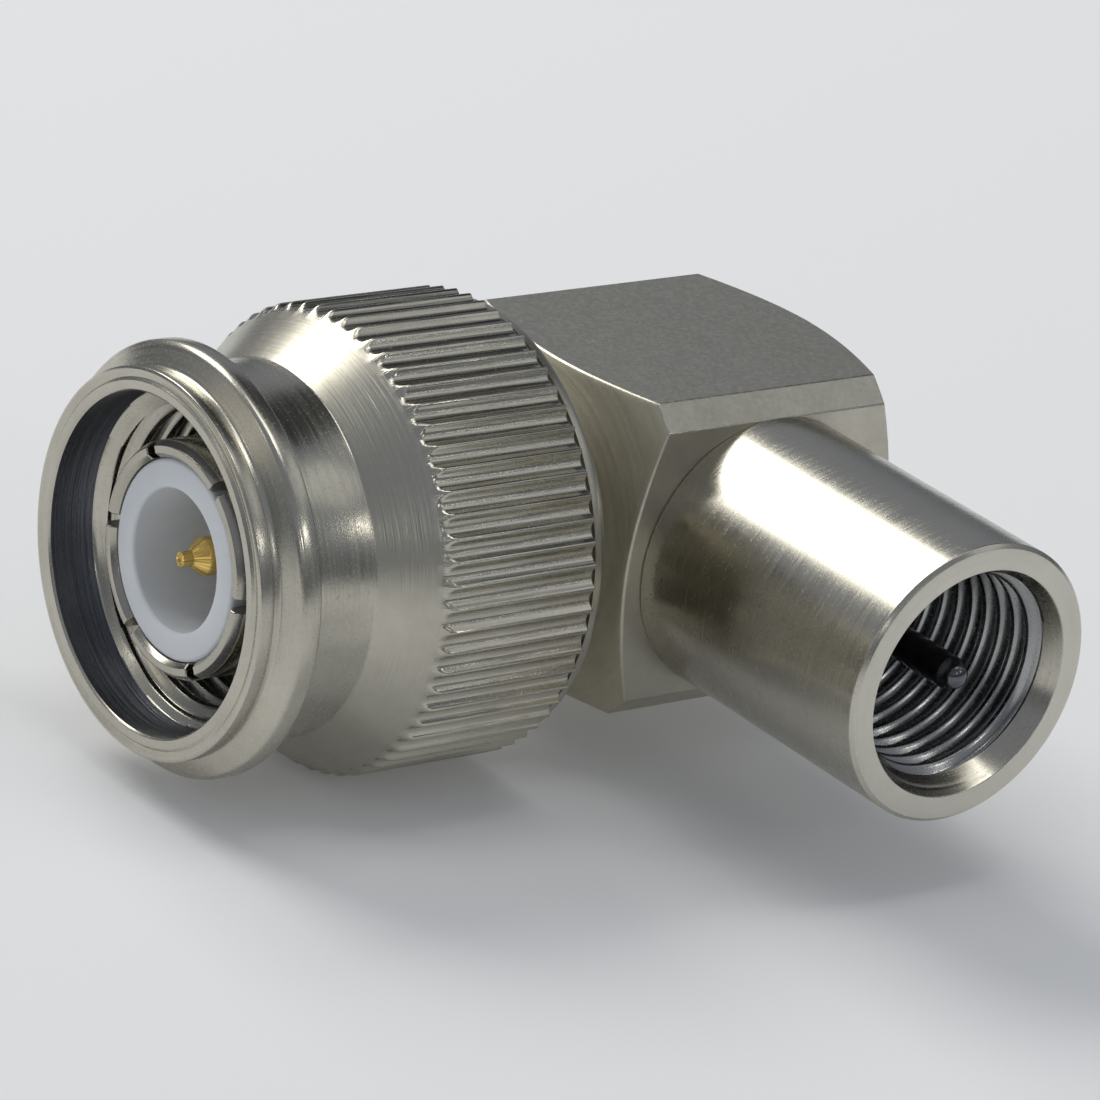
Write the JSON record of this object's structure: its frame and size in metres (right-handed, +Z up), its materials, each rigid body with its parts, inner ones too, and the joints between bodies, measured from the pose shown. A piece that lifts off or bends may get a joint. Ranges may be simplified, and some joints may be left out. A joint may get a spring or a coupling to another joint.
{
  "type": "coax adapter",
  "caption": "Right-angle coaxial adapter: a square metal elbow joining a plug with a knurled threaded coupling nut to a small internally threaded barrel with a centre pin.",
  "frame": {"origin": "centre of the coupling nut's mouth, on the nut's axis", "axes": "+X along the nut's axis into the part, -Y out of the barrel's mouth, +Z up and square to both axes"},
  "size_m": [0.0278, 0.0257, 0.0164],
  "materials": {
    "nickel_plate": "satin nickel plating on turned brass",
    "spring_wire": "spring steel",
    "gold_plate": "bright gold plating",
    "dark_plate": "dark polished plating",
    "white_insulator": "turned white fluoroplastic",
    "gasket_rubber": "moulded silicone rubber"
  },
  "bodies": {
    "adapter": {"elbow_body": "nickel_plate", "rear_cap": "nickel_plate", "barrel": "nickel_plate", "barrel_insulator": "white_insulator", "barrel_pin": "dark_plate", "plug_insulator": "white_insulator", "plug_pin": "gold_plate", "outer_contact": "nickel_plate", "gasket": "gasket_rubber", "snap_ring": "spring_wire"},
    "nut": {"coupling_nut": "nickel_plate"}
  },
  "joints": [
    {"name": "nut_spin", "type": "hinge", "parent": "adapter", "child": "nut", "pos_m": [0.0067, 0, 0], "axis": [1, 0, 0], "continuous": true}
  ]
}
